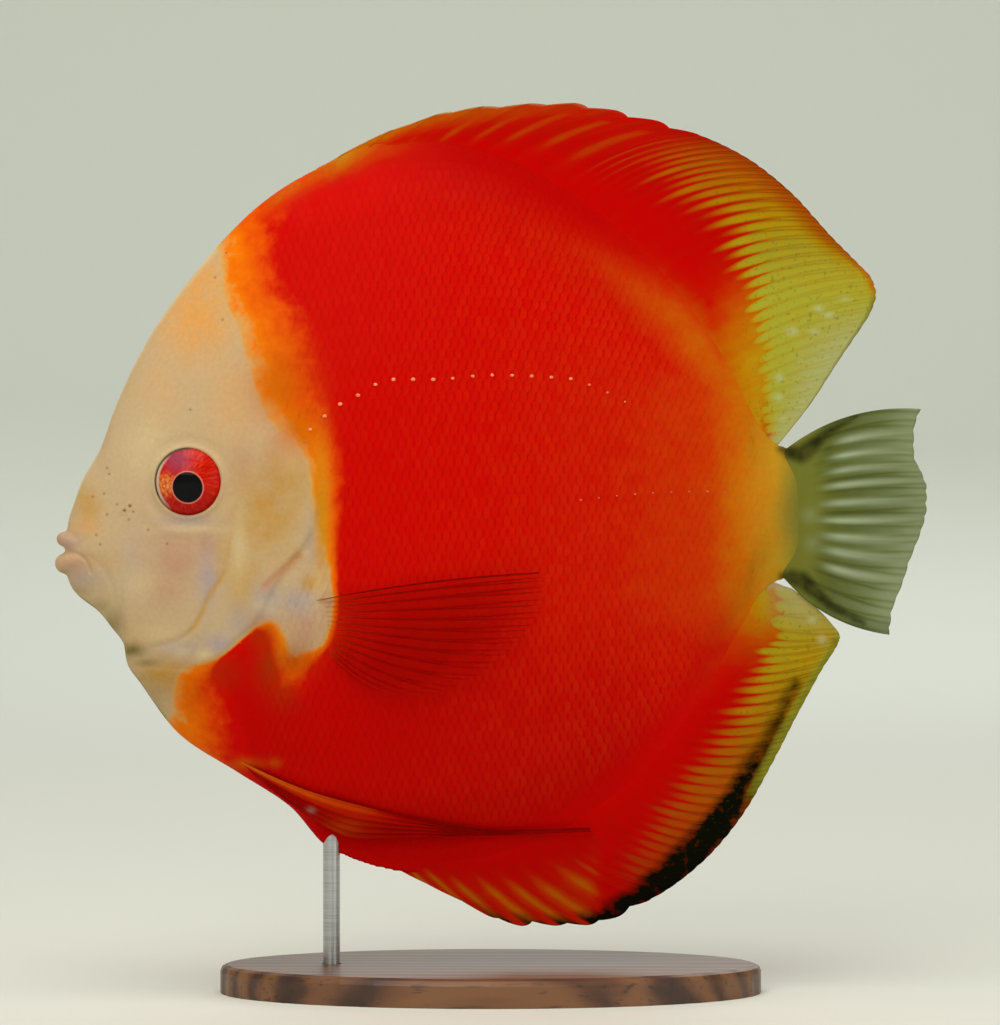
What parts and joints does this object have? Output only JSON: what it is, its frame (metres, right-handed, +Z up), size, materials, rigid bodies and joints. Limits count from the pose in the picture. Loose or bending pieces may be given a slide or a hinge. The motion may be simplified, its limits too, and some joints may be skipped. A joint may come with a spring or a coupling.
{
  "type": "discus fish model",
  "caption": "Life-size still model of a deep, disc-shaped tropical fish with tall fins, carried on a short rod over an oval base.",
  "frame": {"origin": "centre of the underside of the oval stand base, on the surface that it stands on", "axes": "+Z up, -X towards the fish's snout, -Y out of its left flank; the fish is level and thinnest along Y"},
  "size_m": [0.1547, 0.056, 0.158],
  "materials": {
    "cheek_skin": "satin",
    "flank_skin": "satin",
    "eye": "polished",
    "median_fin": "satin",
    "tail_membrane": "satin",
    "paired_fin": "satin",
    "stand_wood": "oiled walnut",
    "stand_steel": "brushed"
  },
  "bodies": {
    "root": {"head": "cheek_skin", "lower_jaw": "cheek_skin", "gill_cover_left": "cheek_skin", "gill_cover_right": "cheek_skin", "eye_left": "eye", "eye_right": "eye", "torso": "flank_skin", "tail_stalk": "flank_skin", "dorsal_fin": "median_fin", "anal_fin": "median_fin", "tail_fin": "tail_membrane", "pectoral_fin_left": "paired_fin", "pectoral_fin_right": "paired_fin", "pelvic_fin_left": "paired_fin", "pelvic_fin_right": "paired_fin", "stand_base": "stand_wood", "stand_rod": "stand_steel"}
  },
  "joints": []
}
